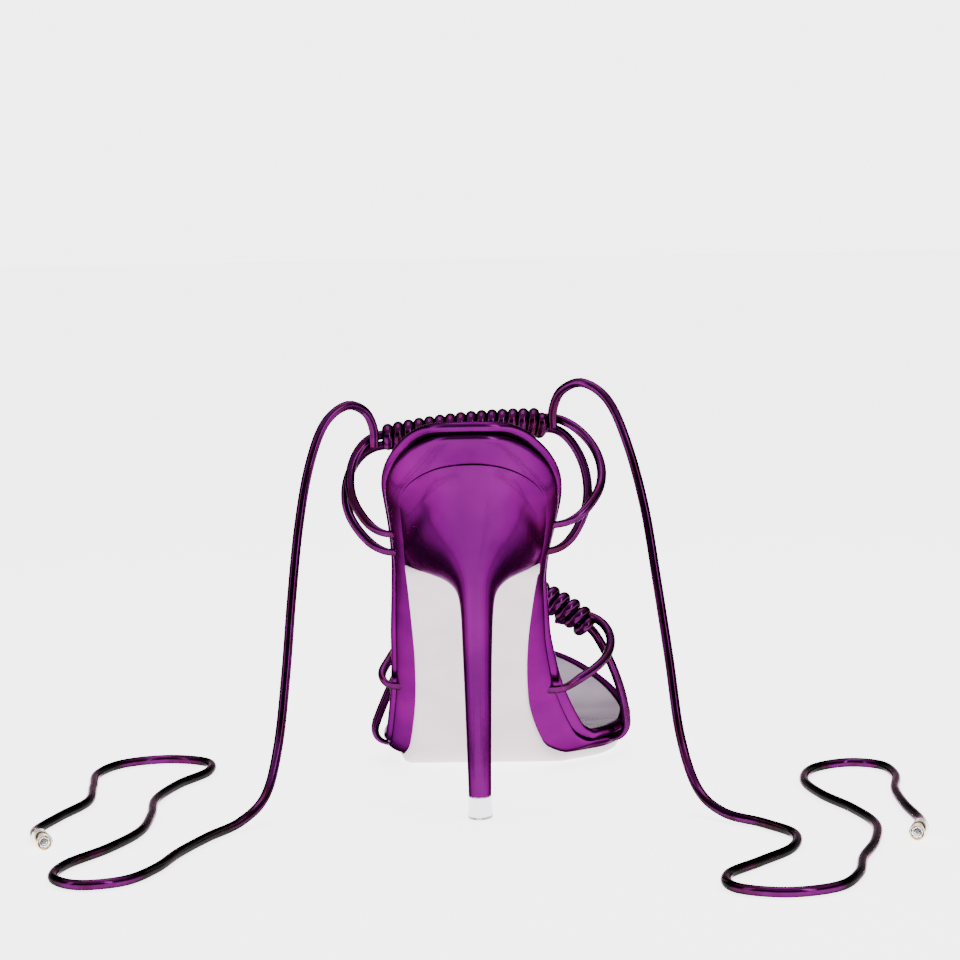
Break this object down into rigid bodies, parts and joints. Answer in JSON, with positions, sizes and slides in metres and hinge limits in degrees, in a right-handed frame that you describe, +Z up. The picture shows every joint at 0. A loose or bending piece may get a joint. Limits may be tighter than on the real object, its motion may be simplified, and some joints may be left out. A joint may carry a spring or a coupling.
{
  "type": "lace up heeled sandal",
  "caption": "Left high heeled sandal with wound cord straps over the toes and instep, loose ankle ties and a thin tapered heel.",
  "frame": {"origin": "middle of the forefoot's flat tread, on the floor", "axes": "+Y to the toe, +X to the inner side of the foot, +Z up"},
  "size_m": [0.2676, 0.3338, 0.1302],
  "materials": {
    "purple_patent": "mirrored metallic gloss",
    "purple_cord": "mirrored metallic gloss",
    "mauve_sock": "pale metallic gloss",
    "pale_outsole": "satin",
    "pale_gold": "polished",
    "clear_plastic": "clear gloss",
    "crystal": "clear faceted"
  },
  "bodies": {
    "root": {"outsole": "pale_outsole", "midsole": "purple_patent", "insole_board": "purple_patent", "insole_sock": "mauve_sock", "heel": "purple_patent", "top_piece": "clear_plastic", "instep_strap": "purple_cord", "toe_strap": "purple_cord", "tie_outer": "purple_cord", "tie_inner": "purple_cord", "aglet_outer": "pale_gold", "aglet_inner": "pale_gold", "crystal_outer": "crystal", "crystal_inner": "crystal"}
  },
  "joints": []
}
